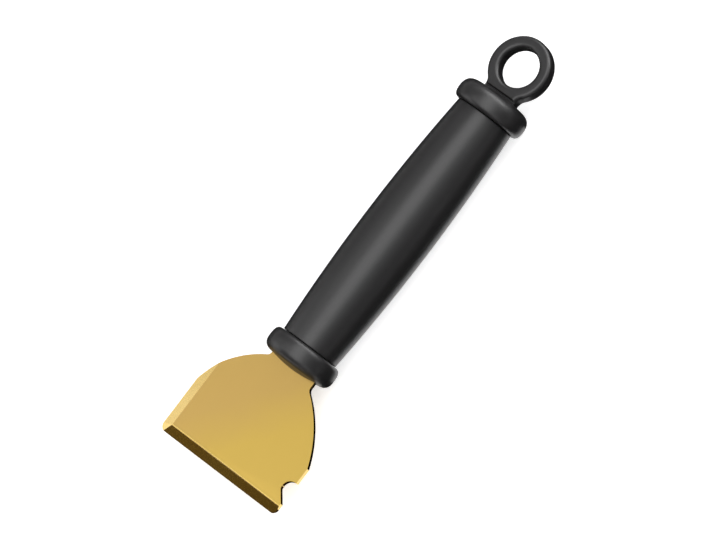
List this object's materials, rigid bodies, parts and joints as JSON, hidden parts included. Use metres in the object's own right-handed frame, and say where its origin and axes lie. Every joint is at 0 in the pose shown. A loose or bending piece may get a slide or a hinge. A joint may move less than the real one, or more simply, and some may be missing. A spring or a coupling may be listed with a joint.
{
  "type": "grill scraper",
  "caption": "Hand scraper for grill grates: a brass blade with ground bevels and a rod notch, fixed in a black barrel grip with beaded ends and a hanging eye.",
  "frame": {"origin": "under the middle of the tool's length and width, at the height of the surface that its collars rest on", "axes": "+X along the handle from the scraping edge to the hanging eye, +Z out of the blade's bevelled face, -Y to the rod notch"},
  "size_m": [0.2102, 0.064, 0.0312],
  "materials": {
    "blade_brass": "rolled sheet with ground bevels",
    "handle_plastic": "satin moulded black",
    "core_plastic": "as moulded, dark grey",
    "pin_steel": "turned"
  },
  "bodies": {
    "root": {"scraper_blade": "blade_brass", "front_collar": "handle_plastic", "grip_sleeve": "handle_plastic", "eye_cap": "handle_plastic", "handle_core": "core_plastic", "tang_pin_front": "pin_steel", "tang_pin_rear": "pin_steel"}
  },
  "joints": []
}
